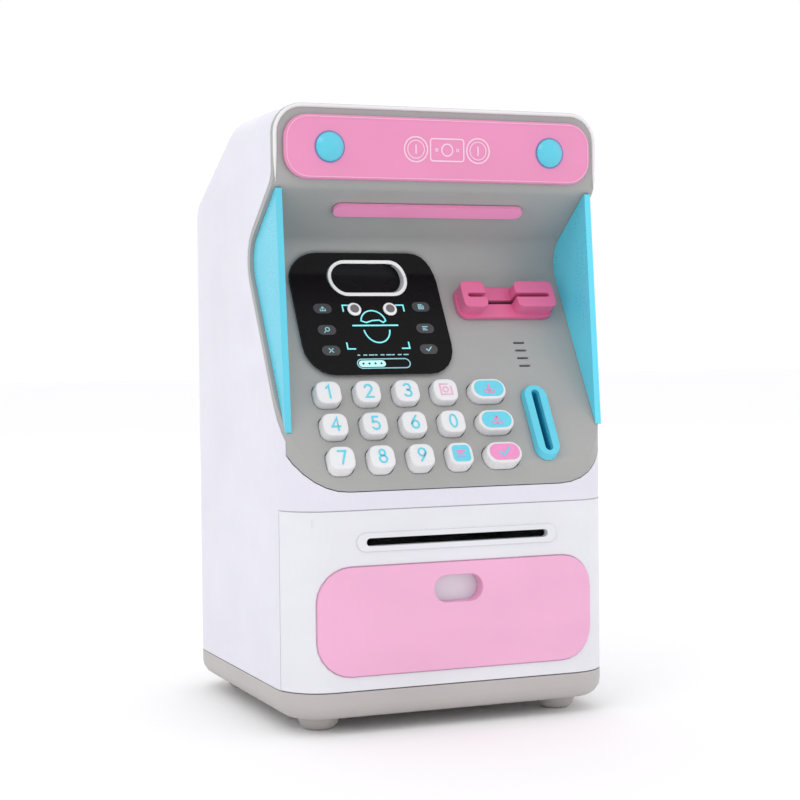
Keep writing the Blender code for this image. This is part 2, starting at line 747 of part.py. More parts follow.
def door():
    """The full-width door: wrapped wall, finger cup, cash slot, hinge arms and the latch's keeper."""
    wall = door_band(0.0, DOOR_T, DOOR_WRAP_D, (DOOR_BOTTOM, DOOR_TOP))
    leaf = add("door", wall, "door_white", hinge_origin())
    join(leaf, prism(pill(CASH_SLOT, CASH_RING_SIZE, 6), (-0.5, 1.5), FACE))
    join(leaf, prism(rounded_rect(PULL, grown(PULL_SIZE, 2.2), 7.2, 5), (1.6, 6.6), FACE))
    for low in (17.6, 74.0):
        join(leaf, prism(hinge_arm(), (low, low + 4.6), PLAN))
    keeper = rectangle((LATCH[0] - 6, LATCH[0] + 6), (1.6, LATCH[1] + 4.6))
    join(leaf, prism(keeper, KEEPER_Z, PLAN))

    pocket = tool(door_band(-2.0, 1.2, DOOR_WRAP_D, (0.0, 90.0)))
    boolean(pocket, tool(prism(plate_outline(GAP), (-PAST, PAST), FACE)), "INTERSECT")
    boolean(leaf, pocket, "DIFFERENCE")
    cut(
        leaf,
        prism(rounded_rect(PULL, grown(PULL_SIZE, 0.9), 6.0, 5), (-1, 5.0), FACE),
        prism(pill(CASH_SLOT, CASH_SLOT_SIZE, 4), (-5, PAST), FACE),
        rod(PIN_R + RUNNING, (10, 90), moved(PLAN, *HINGE)),
        prism(square(LATCH, BOLT_HALF + GAP), (KEEPER_Z[0] - 3, KEEPER_Z[1] + 3), PLAN),
    )
    cut(leaf, hinge_relief())


def hinge_origin():
    """The middle of the door's pin."""
    return (HINGE[0], DOOR_FACE_Y + HINGE[1], (DOOR_BOTTOM + DOOR_TOP) / 2)


def hinge_arm():
    """A gooseneck, seen from above: from the door's back, past the body's edge, to the pin."""
    x, d = HINGE
    inner = x - 13.1
    bar = inner + WALL
    lug = arc((x, d), HINGE_LUG_R, -90, 90, 8)
    return [(inner, 1.6), (bar, 1.6), (bar, d - HINGE_LUG_R)] + lug + [(inner, d + HINGE_LUG_R)]


def hinge_relief():
    """Clears the wrapped end of the door, beside its arms, where it swings past the shell's edge."""
    radius = (Vector((HALF, DOOR_WRAP_D + GAP)) - Vector(HINGE)).length + RUNNING
    lug_side = HINGE[0] + HINGE_LUG_R + GAP
    lug_front = HINGE[1] - HINGE_LUG_R - GAP
    outline = arc(HINGE, radius, -90, 72, 18) + [(lug_side, lug_front), (HINGE[0], lug_front)]
    return prism(outline, (0, 90), PLAN)


def plate_outline(grow=0.0):
    """The pink plate seen from the front."""
    return rounded_rect(PLATE, grown(PLATE_SIZE, grow), PLATE_R + grow, 6)


def door_plate():
    """The pink plate that lies in the door's pocket, with the lining of the finger pull."""
    plate = add("door_plate", door_band(-0.7, 0.9, DOOR_WRAP_D, (0.0, 90.0)), "panel_pink")
    boolean(plate, tool(prism(plate_outline(), (-PAST, PAST), FACE)), "INTERSECT")
    join(plate, prism(rounded_rect(PULL, grown(PULL_SIZE, 0.6), 5.7, 5), (0.2, 4.7), FACE))
    cut(plate, prism(rounded_rect(PULL, grown(PULL_SIZE, -0.4), 4.9, 5), (-3, 8), FACE))


def hinge_rod():
    """The steel pin through the tray, the door's two arms and the deck."""
    add("hinge_rod", rod(PIN_R, (11.3, 84.6), moved(PLAN, *HINGE)), "steel")


def latch():
    """The bolt, drawn up clear of the door's keeper, in its solenoid on the deck."""
    x, d = LATCH
    bolt = prism(square(LATCH, BOLT_HALF), BOLT_Z, PLAN)
    add("latch_bolt", bolt, "steel", (x, DOOR_FACE_Y + d, sum(BOLT_Z) / 2))
    coil = add("latch_solenoid", prism(square(LATCH, 6.5), (DECK_Z[1] + GAP, 104.0), PLAN), "steel")
    cut(coil, prism(square(LATCH, BOLT_HALF + 0.4), (80.0, BOLT_Z[1] + 1), PLAN))


# ---------------------------------------------------------------- works behind the fascia

def keypad_layers():
    """The membrane under the keys and the board behind it."""
    membrane = rounded_rect((-12.6, 16.0), (79.0, 39.6), 2.0, 3)
    add("keypad_membrane", prism(membrane, (-7.4, -6.3), SLOPE), "key_white")
    board = rectangle((-52.1, 26.9), (-3.0, 35.8))
    add("keypad_board", prism(board, (-9.3, -7.7), SLOPE), "board_green")


def speaker():
    """The small loudspeaker behind the slits."""
    profile = [(0, -2.8), (9.6, -2.8), (9.6, -5.0), (5.5, -8.6), (0, -8.6)]
    add("speaker", turned(profile, moved(SLOPE, *SPEAKER)), "steel")


def battery_works():
    """The battery box, three cells, and the cover held on the back by one screw."""
    x, z = BATTERY
    box_size = (56.0, 50.0)
    shape = prism(rounded_rect(BATTERY, box_size, 1.0, 1), (105.0, 125.2), FACE)
    box = add("battery_box", shape, "tray_grey")
    cut(box, prism(rounded_rect(BATTERY, grown(box_size, -1.5), 0.5, 1), (106.6, 130.0), FACE))

    cell = [(0, 25.2), (2.7, 25.2), (2.7, 24.2), (7.1, 24.2), (7.1, -25.2), (0, -25.2)]
    for i, way in enumerate((1, -1, 1)):
        place = frame((x, 115.0, z + (i - 1) * 15.4), (0, way, 0), (0, 0, 1), (way, 0, 0))
        add(f"battery_{i + 1}", turned(cell, place, 24), "battery_jacket")

    shape = prism(rounded_rect(BATTERY, COVER_SIZE, 5.0, 4), (125.8, DEPTH + 0.6), FACE)
    cover = add("battery_cover", shape, "shell_white")
    bevel(cover, 0.5, 1)
    back = frame((x, 0.0, z - COVER_SIZE[1] / 2 + 2.9), (1, 0, 0), (0, 0, -1), (0, 1, 0))
    cut(cover, rod(2.3, (126.9, 135.0), back))
    cut(cover, rod(1.0, (120.0, 130.0), back))
    pin = [(0, 128.3), (2.0, 128.3), (2.0, 127.2), (0.75, 127.2), (0.75, 120.6), (0, 120.6)]
    add("battery_cover_screw", turned(pin, back, 20), "steel")


def power_switch():
    """The slider in the rear wall, at the left end of its opening."""
    x, z = SWITCH[0] - 3.2, SWITCH[1]
    slider = rectangle((x - 2.0, x + 2.0), (z - 2.5, z + 2.5))
    origin = (x, DOOR_FACE_Y + 125.8, z)
    add("power_switch", prism(slider, (123.6, DEPTH), FACE), "rubber_dark", origin)


def gear_outline(teeth, module):
    """A spur gear with straight-flanked teeth, thinned a little for running clearance."""
    pitch = teeth * module / 2
    tip, root = pitch + 0.8 * module, pitch - 1.15 * module
    outline = []
    for tooth in range(teeth):
        middle = 360.0 * tooth / teeth
        for radius, share in ((root, -0.40), (tip, -0.13), (tip, 0.13), (root, 0.40)):
            outline += arc((0, 0), radius, middle + share * 360.0 / teeth, middle, 1)[:1]
    return outline


def note_drive():
    """Rubber rollers that draw a note in, and the motor and gears that turn them."""
    drive, idler, spin = along_x(*DRIVE), along_x(*IDLER), along_x(*MOTOR)
    add_on_axis("drive_shaft", rod(SHAFT_R, (9.2, 58.0), drive, 20), "steel", DRIVE)
    add_on_axis("drive_roller", tube(ROLLER_R, SHAFT_R + 0.05, ROLLER_X, drive), "rubber_dark", DRIVE)
    gear = prism(gear_outline(GEAR_TEETH, TOOTH_MODULE), GEAR_X, drive)
    wheel = add_on_axis("drive_gear", gear, "key_white", DRIVE)
    cut(wheel, rod(SHAFT_R + 0.05, (5, 15), drive, 20))

    near, far = ROLLER_X
    stub = [(0, 57.6), (SHAFT_R, 57.6), (SHAFT_R, far), (ROLLER_R, far)]
    roll = stub + [(ROLLER_R, near), (SHAFT_R, near), (SHAFT_R, 12.4), (0, 12.4)]
    add_on_axis("idler_roller", turned(roll, idler), "rubber_dark", IDLER)

    pinion_plane = spin @ Matrix.Rotation(pinion_phase(), 4, "Z")
    pinion = prism(gear_outline(PINION_TEETH, TOOTH_MODULE), GEAR_X, pinion_plane)
    add_on_axis("motor_pinion", pinion, "brass", MOTOR)
    nose = [(0, 9.2), (1.0, 9.2), (1.0, 7.0), (3.0, 7.0), (3.0, 5.2), (9.4, 5.2), (9.8, 4.4)]
    can = [(9.8, -18.0), (9.0, -19.0), (0, -19.0)]
    add("feed_motor", turned(nose + can, spin), "steel")


def pinion_phase():
    """Turn that puts a gap of the pinion against a tooth of the gear on the line of centres."""
    toward = -Vector((1, 0)).angle_signed(Vector(MOTOR) - Vector(DRIVE))
    gear_step = 2 * pi / GEAR_TEETH
    past_tooth = toward % gear_step
    return toward + pi + pi / PINION_TEETH + past_tooth * GEAR_TEETH / PINION_TEETH


def tube(outer, inner, span, place):
    """A roller with a bore."""
    low, high = span
    return turned([(inner, high), (outer, high), (outer, low), (inner, low), (inner, high)], place)


def add_on_axis(name, mesh, color, axis):
    """Add a piece whose origin lies on its (d, z) axis, midway along the rollers."""
    return add(name, mesh, color, (sum(ROLLER_X) / 2, DOOR_FACE_Y + axis[0], axis[1]))


def feed_frame():
    """The bracket that carries the shafts and the motor, standing on the deck."""
    low, top = DECK_Z[1] + GAP, 158.4
    beam = prism(rectangle((38.0, 57.0), (118.0, 120.4)), (5.6, 57.0), SIDE)
    bracket = add("feed_frame", beam, "tray_grey")
    cheek = [(38.2, low), (56.8, low), (56.8, top), (42.0, top), (38.2, 150.0)]
    for x in (13.2, 54.6):
        join(bracket, prism(cheek, (x, x + 2.2), SIDE))
    join(bracket, prism(rectangle((38.2, 58.8), (119.0, 146.0)), (5.8, 7.6), SIDE))
    cut(
        bracket,
        rod(SHAFT_R + RUNNING, (0, 70), along_x(*DRIVE), 20),
        rod(SHAFT_R + RUNNING, (12, 70), along_x(*IDLER), 20),
        rod(3.3, (5, 8), along_x(*MOTOR)),
    )


def behind_slope(s):
    """(d, z) of a point just behind the fascia, a distance up the slope."""
    point = Vector(SLOPE_FOOT) + _UP_SLOPE * s + Vector((_UP_SLOPE.y, -_UP_SLOPE.x)) * (FASCIA_T + GAP)
    return tuple(point)


def chutes():
    """The guides that drop notes and coins through the deck."""
    low, high = DECK_Z[1] + GAP, 150.0
    across, deep = NOTE_WELL
    outer = rectangle(
        (across[0] - CHUTE_WALL, across[1] + CHUTE_WALL),
        (deep[0] - CHUTE_WALL, deep[1] + CHUTE_WALL),
    )
    note = add("note_chute", prism(outer, (low, high), PLAN), "display_black")
    cut(note, prism(rectangle(*NOTE_WELL), (low - 6, high + 10), PLAN))
    cut(note, prism(rectangle((10.0, 60.0), (55.0, 70.0)), (122.0, high + 10), PLAN))

    back = [(27.0, 119.0), (30.0, 108.0), (30.0, low), (8.0, low)]
    line = [behind_slope(3.6), behind_slope(33.2)] + back
    hollow = [(0.0, 94.2), (19.4, 127.2), (25.8, 118.0), (28.6, 107.6)]
    hollow += [(28.6, 80.0), (9.4, 80.0), (9.4, 94.2)]
    coin = add("coin_chute", prism(line, (COIN[0] - 4.2, COIN[0] + 4.2), SIDE), "display_black")
    cut(coin, prism(hollow, (COIN[0] - 2.8, COIN[0] + 2.8), SIDE))


body_shell()
base_tray()
feet()
deck()
front_fascia()
sign_panel()
ceiling_light_bar()
display()
note_inlet()
coin_bezel()
wings()
keys()
door()
door_plate()
hinge_rod()
latch()
keypad_layers()
speaker()
battery_works()
power_switch()
note_drive()
feed_frame()
chutes()
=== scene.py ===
"""Looks of the toy cash-machine savings bank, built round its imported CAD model.

Everything is in metres in the CAD's own frame: +Z up, the front faces -Y, +X to the viewer's right.
MM turns millimetres into metres.
"""

import json
from math import asin, cos, degrees, pi, radians, sin, sqrt

import bmesh
import bpy
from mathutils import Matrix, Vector


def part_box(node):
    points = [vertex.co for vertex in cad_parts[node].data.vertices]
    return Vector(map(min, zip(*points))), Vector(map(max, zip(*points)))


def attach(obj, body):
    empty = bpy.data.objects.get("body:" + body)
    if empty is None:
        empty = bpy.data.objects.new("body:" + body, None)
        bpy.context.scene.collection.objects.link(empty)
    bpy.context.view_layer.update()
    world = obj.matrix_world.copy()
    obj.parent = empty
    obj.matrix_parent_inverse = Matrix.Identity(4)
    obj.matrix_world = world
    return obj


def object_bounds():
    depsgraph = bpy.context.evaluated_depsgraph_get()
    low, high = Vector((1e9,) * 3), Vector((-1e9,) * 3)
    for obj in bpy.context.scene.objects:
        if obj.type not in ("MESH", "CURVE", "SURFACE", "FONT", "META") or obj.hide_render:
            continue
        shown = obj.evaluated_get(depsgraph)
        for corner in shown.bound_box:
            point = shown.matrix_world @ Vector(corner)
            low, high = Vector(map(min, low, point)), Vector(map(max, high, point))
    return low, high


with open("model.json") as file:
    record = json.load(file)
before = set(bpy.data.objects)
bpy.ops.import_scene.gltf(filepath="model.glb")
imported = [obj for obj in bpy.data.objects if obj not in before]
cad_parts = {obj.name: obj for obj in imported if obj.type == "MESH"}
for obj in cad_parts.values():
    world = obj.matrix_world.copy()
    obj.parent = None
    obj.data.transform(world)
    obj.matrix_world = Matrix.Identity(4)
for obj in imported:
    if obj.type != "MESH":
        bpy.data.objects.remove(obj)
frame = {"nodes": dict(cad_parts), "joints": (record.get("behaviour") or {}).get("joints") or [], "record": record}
CAD_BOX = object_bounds()

MM = 0.001
NODES = frame["nodes"]
BODY_OF = {}
for body_name, members in frame["record"]["behaviour"]["bodies"].items():
    for member in members:
        BODY_OF[member] = body_name
HOUSING = BODY_OF["body_shell"]
CAD_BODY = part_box("base_tray")

# Directions of the keypad slope, where the keys move along -OUT, and of the upright front
X = Vector((1.0, 0.0, 0.0))
for joint in frame["joints"]:
    if joint["name"] == "key_5_press":
        OUT = -Vector(joint["axis"])
UP = OUT.cross(X)
SKY = Vector((0.0, 0.0, 1.0))
FRONT = Vector((0.0, -1.0, 0.0))

# Radii and seams of the body that the frame doesn't state
BODY_CORNER_R = 16.8 * MM
HOOD_CORNER_R = 11.0 * MM
DOOR_WRAP = 13.0 * MM
SEAM = 0.3 * MM
SIGN_GAP = 0.3 * MM
SIGN_R = 9.0 * MM
PLATE_R = 12.5 * MM
COIN_SLOT = (3.2 * MM, 26.0 * MM)
BEAD_R = 0.75 * MM
BEAD_FADE = 12.0 * MM

# Facets of one surface meet at less than SPLIT_ANGLE, and coplanar ones at less than FLAT_ANGLE (degrees)
WELD_DISTANCE = 0.002 * MM
SPLIT_ANGLE = 32.0
FLAT_ANGLE = 0.6

# Raised prints
PRINT_T = 0.12 * MM
PRINT_LIFT = 0.03 * MM
SECOND_LIFT = PRINT_LIFT + PRINT_T
STROKE = 0.74 * MM
DIGIT_H = 5.1 * MM
SQUARE_FILL = (6.9 * MM, 6.6 * MM, 1.5 * MM)
WIDE_FILL = (12.0 * MM, 6.6 * MM, 3.2 * MM)
CAP_STEPS = 6
DISPLAY_LINE = 0.55 * MM
THIN_LINE = 0.36 * MM

# Studio: lights as name, place, size and power
CAMERA_PLACE = (-0.2738, -0.6851, 0.1424)
CAMERA_TURN = (88.13, 0.61, -22.01)
CAMERA_LENS = 83.64
FLOOR_REACH = 6.0
SURROUND = (0.985, 0.985, 1.0, 1.0)
SURROUND_STRENGTH = 1.03
LIGHTS = (
    ("key_light", (-1.2, -0.8, 1.5), 1.0, 4.0),
    ("fill_light", (1.3, -1.2, 0.8), 1.4, 1.0),
    ("back_light", (0.3, 1.3, 1.2), 1.2, 1.5),
)

# Colours are linear
# Lit and shaded copies of one white plastic: the shell's white is tinted lavender, painted shade as its sides take
# it on, and the door's is the plainer white of its lit front.
WHITE_SIDE_SHADE = (0.735, 0.725, 0.80)
WHITE_FRONT_LIT = (0.755, 0.755, 0.795)
KEY_WHITE = (0.77, 0.77, 0.78)
GREY_FASCIA = (0.375, 0.375, 0.365)
GREY_TRAY = (0.48, 0.455, 0.44)
PINK_DOOR = (0.83, 0.42, 0.62)
PINK_SIGN = (0.78, 0.27, 0.48)
PINK_INLET = (0.76, 0.15, 0.33)
CYAN = (0.11, 0.60, 0.76)
CYAN_PRINT = (0.13, 0.60, 0.74)
PINK_PRINT = (0.80, 0.27, 0.52)
ICON_CYAN = (0.22, 0.78, 0.82)
BLACK = (0.004, 0.004, 0.0045)
LENS_BLACK = (0.008, 0.008, 0.009)


# ---------------------------------------------------------------- materials

class Nodes:
    """A small helper that adds shader nodes and links them."""

    def __init__(self, name):
        self.material = bpy.data.materials.new(name)
        self.material.use_nodes = True
        self.tree = self.material.node_tree
        self.shader = self.tree.nodes["Principled BSDF"]
        self.place = self.add("ShaderNodeTexCoord").outputs["Object"]

    def add(self, kind, **settings):
        node = self.tree.nodes.new(kind)
        for key, value in settings.items():
            setattr(node, key, value)
        return node

    def link(self, output, socket):
        self.tree.links.new(output, socket)

    def stretched(self, scale):
        """Object coordinates scaled differently along X, Y and Z."""
        mapping = self.add("ShaderNodeMapping")
        mapping.inputs["Scale"].default_value = scale
        self.link(self.place, mapping.inputs["Vector"])
        return mapping.outputs["Vector"]

    def noise(self, scale, detail=3.0, rough=0.5, vector=None):
        node = self.add("ShaderNodeTexNoise")
        node.inputs["Scale"].default_value = scale
        node.inputs["Detail"].default_value = detail
        node.inputs["Roughness"].default_value = rough
        self.link(vector or self.place, node.inputs["Vector"])
        return node.outputs["Fac"]

    def cells(self, scale, feature="F1"):
        node = self.add("ShaderNodeTexVoronoi", feature=feature)
        node.inputs["Scale"].default_value = scale
        self.link(self.place, node.inputs["Vector"])
        return node.outputs["Distance"]

    def remap(self, value, low, high, to_low=0.0, to_high=1.0):
        node = self.add("ShaderNodeMapRange")
        limits = {"From Min": low, "From Max": high, "To Min": to_low, "To Max": to_high}
        for socket, number in limits.items():
            node.inputs[socket].default_value = number
        self.link(value, node.inputs["Value"])
        return node.outputs["Result"]

    def math(self, operation, a, b):
        node = self.add("ShaderNodeMath", operation=operation)
        for socket, value in zip(node.inputs, (a, b)):
            if isinstance(value, (int, float)):
                socket.default_value = value
            else:
                self.link(value, socket)
        return node.outputs[0]

    def blend(self, factor, a, b, mode="MIX"):
        """Mix two colours; each is an RGB tuple or an output."""
        node = self.add("ShaderNodeMix", data_type="RGBA", blend_type=mode)
        self.link(factor, node.inputs["Factor"])
        for socket, value in ((node.inputs["A"], a), (node.inputs["B"], b)):
            if isinstance(value, tuple):
                socket.default_value = (*value, 1.0)
            else:
                self.link(value, socket)
        return node.outputs["Result"]

    def bump(self, height, distance, strength=1.0, under=None):
        node = self.add("ShaderNodeBump")
        node.inputs["Distance"].default_value = distance
        node.inputs["Strength"].default_value = strength
        self.link(height, node.inputs["Height"])
        if under is not None:
            self.link(under, node.inputs["Normal"])
        return node.outputs["Normal"]

    def edges(self, radius):
        """(rounded normal, mask that is 1 along the edges)."""
        rounded = self.add("ShaderNodeBevel", samples=4)
        rounded.inputs["Radius"].default_value = radius
        geometry = self.add("ShaderNodeNewGeometry")
        dot = self.add("ShaderNodeVectorMath", operation="DOT_PRODUCT")
        self.link(rounded.outputs["Normal"], dot.inputs[0])
        self.link(geometry.outputs["Normal"], dot.inputs[1])
        return rounded.outputs["Normal"], self.remap(dot.outputs["Value"], 0.99, 0.80)


def scaled(color, factor):
    return tuple(min(channel * factor, 1.0) for channel in color)


def moulded(name, color, rough=0.36, grain=0.6, tone=0.03, coat=0.0, flake=0.0, edge_wear_and_highlight=0.35, soft=0.0,
            edge=0.35, glow=0.0):
    """Injection-moulded plastic: fine grain, faint flow marks, handling smears and paler edges, which are partly
    wear and partly painted highlight.
    """
    n = Nodes(name)
    normal, edge_mask = n.edges(edge * MM)
    flow = n.noise(1.0, 2.0, 0.6, n.stretched((18.0, 18.0, 55.0)))
    cloud = n.noise(28.0, 4.0, 0.55)
    tint = n.math("ADD", n.math("MULTIPLY", flow, 0.5), n.math("MULTIPLY", cloud, 0.5))
    base = n.blend(n.remap(tint, 0.35, 0.65), scaled(color, 1.0 - tone), scaled(color, 1.0 + tone))
    if flake:
        spark = n.remap(n.cells(2600.0), 0.0, 0.35, 1.0, 0.0)
        base = n.blend(n.math("MULTIPLY", spark, flake), base, scaled(color, 1.7))
    # Paler edges: a little wear, and painted highlight where an edge would catch light; strong on the sign and the
    # door's plate.
    wear_and_highlight = n.math("MULTIPLY", edge_mask, n.remap(n.noise(260.0, 5.0, 0.65), 0.42, 0.62, 0.15, edge_wear_and_highlight))
    base = n.blend(wear_and_highlight, base, scaled(color, 1.25))
    n.link(base, n.shader.inputs["Base Color"])

    hands = n.noise(60.0, 6.0, 0.62, n.stretched((1.0, 1.0, 0.4)))
    smear = n.remap(hands, 0.35, 0.7, rough - 0.05, rough + 0.08)
    fine = n.remap(n.noise(1500.0, 2.0, 0.5), 0.3, 0.7, -0.03, 0.03)
    n.link(n.math("ADD", smear, fine), n.shader.inputs["Roughness"])

    grainy = n.bump(n.noise(2300.0, 3.0, 0.6), 0.03 * MM, 0.35 * grain, normal)
    sunk = n.bump(cloud, 0.25 * MM, 0.10, grainy)
    n.link(sunk, n.shader.inputs["Normal"])
    n.shader.inputs["Coat Weight"].default_value = coat
    n.shader.inputs["Coat Roughness"].default_value = 0.12
    n.shader.inputs["Subsurface Weight"].default_value = soft
    n.shader.inputs["Subsurface Scale"].default_value = 1.2 * MM
    # A glow makes the plastic give off light: painted light, as no moulded part here is a lamp.
    if glow:
        n.link(base, n.shader.inputs["Emission Color"])
        n.shader.inputs["Emission Strength"].default_value = glow
    return n.material


def glossy_black(name, color):
    """Tinted black acrylic with faint haze and a little dust."""
    n = Nodes(name)
    normal, edge_mask = n.edges(0.25 * MM)
    dust = n.remap(n.noise(900.0, 6.0, 0.7), 0.60, 0.72)
    base = n.blend(n.math("MULTIPLY", dust, 0.04), color, (0.20, 0.20, 0.20))
    base = n.blend(n.math("MULTIPLY", edge_mask, 0.5), base, (0.07, 0.07, 0.07))
    n.link(base, n.shader.inputs["Base Color"])
    haze = n.noise(55.0, 3.0, 0.5)
    n.link(n.remap(haze, 0.3, 0.7, 0.24, 0.30), n.shader.inputs["Roughness"])
    n.link(n.bump(n.noise(40.0, 2.0), 0.12 * MM, 0.10, normal), n.shader.inputs["Normal"])
    n.shader.inputs["Specular IOR Level"].default_value = 0.12
    return n.material


def printed(name, color, glow=0.0):
    """Pad-printed ink: slightly uneven cover and a fine orange-peel surface."""
    n = Nodes(name)
    thin = n.remap(n.noise(700.0, 4.0, 0.6), 0.35, 0.7)
    base = n.blend(n.math("MULTIPLY", thin, 0.35), color, scaled(color, 1.25))
    n.link(base, n.shader.inputs["Base Color"])
    n.link(n.remap(n.noise(1800.0), 0.3, 0.7, 0.34, 0.48), n.shader.inputs["Roughness"])
    n.link(n.bump(n.noise(2600.0), 0.02 * MM, 0.3), n.shader.inputs["Normal"])
    # A glow makes the ink give off light of its own: painted light, as the print is no lamp.
    if glow:
        n.link(base, n.shader.inputs["Emission Color"])
        n.shader.inputs["Emission Strength"].default_value = glow
    return n.material


def metal(name, color, rough):
    """Turned or drawn metal with fine lines along one direction."""
    n = Nodes(name)
    normal, edge_mask = n.edges(0.2 * MM)
    lines = n.noise(60.0, 4.0, 0.6, n.stretched((1.0, 1.0, 60.0)))
    base = n.blend(n.remap(lines, 0.35, 0.65), scaled(color, 0.85), scaled(color, 1.08))
    base = n.blend(n.math("MULTIPLY", edge_mask, 0.4), base, scaled(color, 1.2))
    n.link(base, n.shader.inputs["Base Color"])
    n.link(n.remap(lines, 0.3, 0.7, rough - 0.08, rough + 0.10), n.shader.inputs["Roughness"])
    n.link(n.bump(lines, 0.02 * MM, 0.25, normal), n.shader.inputs["Normal"])
    n.shader.inputs["Metallic"].default_value = 1.0
    return n.material


def rubber(name, color):
    """Matte rubber with a dusty bloom and fine pits."""
    n = Nodes(name)
    normal, edge_mask = n.edges(0.3 * MM)
    bloom = n.remap(n.noise(350.0, 5.0, 0.65), 0.4, 0.7)
    base = n.blend(n.math("MULTIPLY", bloom, 0.4), color, scaled(color, 2.2))
    base = n.blend(n.math("MULTIPLY", edge_mask, 0.4), base, scaled(color, 2.0))
    n.link(base, n.shader.inputs["Base Color"])
    n.link(n.remap(bloom, 0.0, 1.0, 0.62, 0.82), n.shader.inputs["Roughness"])
    n.link(n.bump(n.cells(1400.0), 0.05 * MM, 0.5, normal), n.shader.inputs["Normal"])
    return n.material


def laminate(name):
    """Green circuit board: solder mask over copper tracks."""
    n = Nodes(name)
    normal, _ = n.edges(0.15 * MM)
    tracks = n.remap(n.cells(240.0, "DISTANCE_TO_EDGE"), 0.03, 0.06, 1.0, 0.0)
    base = n.blend(tracks, (0.012, 0.13, 0.05), (0.05, 0.30, 0.10))
    n.link(base, n.shader.inputs["Base Color"])
    n.shader.inputs["Roughness"].default_value = 0.30
    n.link(n.bump(tracks, 0.05 * MM, 0.6, normal), n.shader.inputs["Normal"])
    return n.material


def cell_jacket(name, low, high):
    """Printed film round a battery: blue with a metal-coloured band at one end, along X."""
    n = Nodes(name)
    split = n.add("ShaderNodeSeparateXYZ")
    n.link(n.place, split.inputs["Vector"])
    band = n.remap(split.outputs["X"], low, high)
    hard = n.math("GREATER_THAN", band, 0.74)
    base = n.blend(hard, (0.04, 0.13, 0.34), (0.62, 0.42, 0.18))
    base = n.blend(n.remap(n.noise(90.0, 3.0), 0.4, 0.7, 0.0, 0.25), base, (0.55, 0.55, 0.58))
    n.link(base, n.shader.inputs["Base Color"])
    n.link(n.remap(n.noise(300.0), 0.3, 0.7, 0.22, 0.36), n.shader.inputs["Roughness"])
    n.shader.inputs["Metallic"].default_value = 0.55
    return n.material


def ground(name):
    """Pale studio paper."""
    n = Nodes(name)
    fibre = n.noise(300.0, 5.0, 0.6)
    n.link(n.blend(fibre, (0.955, 0.955, 0.955), (0.98, 0.98, 0.98)), n.shader.inputs["Base Color"])
    n.link(n.bump(fibre, 0.05 * MM, 0.2), n.shader.inputs["Normal"])
    n.shader.inputs["Roughness"].default_value = 0.85
    return n.material


# ---------------------------------------------------------------- CAD nodes

def smooth_node(node):
    """Weld a CAD node's facets and shade it smooth between hard edges, by modifiers alone."""
    piece = NODES[node]
    custom = piece.data.attributes.get("custom_normal")
    if custom:
        piece.data.attributes.remove(custom)
    for face in piece.data.polygons:
        face.use_smooth = True
    weld = piece.modifiers.new("weld", "WELD")
    weld.merge_threshold = WELD_DISTANCE
    flat = piece.modifiers.new("flat", "DECIMATE")
    flat.decimate_type = "DISSOLVE"
    flat.angle_limit = radians(FLAT_ANGLE)
    split = piece.modifiers.new("split", "EDGE_SPLIT")
    split.split_angle = radians(SPLIT_ANGLE)
    normals = piece.modifiers.new("normals", "WEIGHTED_NORMAL")
    normals.keep_sharp = True


def paint(material, *nodes):
    """Give CAD nodes one material in place of their own."""
    for node in nodes:
        slots = NODES[node].data.materials
        slots.clear()
        slots.append(material)


# ---------------------------------------------------------------- flat artwork

def arc(center, radius, start, stop, count=10):
    """Points on an arc or an ellipse, angles in degrees."""
    rx, ry = radius if isinstance(radius, tuple) else (radius, radius)
    points = []
    for i in range(count + 1):
        angle = radians(start + (stop - start) * i / count)
        points.append((center[0] + rx * cos(angle), center[1] + ry * sin(angle)))
    return points


def oval(center, rx, ry, count=28):
    """A closed ellipse."""
    return arc(center, (rx, ry), 0, 360, count)[:-1]


def rounded(center, width, height, radius, count=6):
    """A rounded rectangle; a radius of half its height makes a pill."""
    across, high = width / 2 - radius, height / 2 - radius
    points = []
    corners = ((across, high, 0), (-across, high, 90), (-across, -high, 180), (across, -high, 270))
    for u, v, start in corners:
        points += arc((center[0] + u, center[1] + v), radius, start, start + 90, count)
    return points


def round_end(end, toward, first):
    """Half a disc on the end of a stroke, from one of its two corners round to the other."""
    center = (end[0] + end[1]) / 2
    spoke = end[first] - center
    turn = 1 if toward.x * -spoke.y + toward.y * spoke.x > 0 else -1
    cap = []
    for step in range(CAP_STEPS + 1):
        angle = turn * pi * step / CAP_STEPS
        u = spoke.x * cos(angle) - spoke.y * sin(angle)
        v = spoke.x * sin(angle) + spoke.y * cos(angle)
        cap.append(center + Vector((u, v)))
    return cap


def stroke(points, width, closed=False):
    """The faces of a line of a width: quads along it, and round ends where it is open."""
    path = [Vector(p) for p in points]
    count = len(path)
    sides = []
    for i, point in enumerate(path):
        before = path[i - 1] if closed or i > 0 else point
        after = path[(i + 1) % count] if closed or i < count - 1 else point
        back = (point - before).normalized() if before != point else (after - point).normalized()
        on = (after - point).normalized() if after != point else back
        middle = (back + on).normalized() if (back + on).length > 0.01 else on
        normal = Vector((-middle.y, middle.x))
        spread = width / 2 / max(abs(normal.dot(Vector((-on.y, on.x)))), 0.5)
        sides.append((point + normal * spread, point - normal * spread))
    faces = []
    for i in range(count if closed else count - 1):
        a, b = sides[i], sides[(i + 1) % count]
        faces.append([a[0], a[1], b[1], b[0]])
    if not closed:
        faces.append(round_end(sides[0], path[0] - path[1], 0))
        faces.append(round_end(sides[-1], path[-1] - path[-2], 1))
    return faces


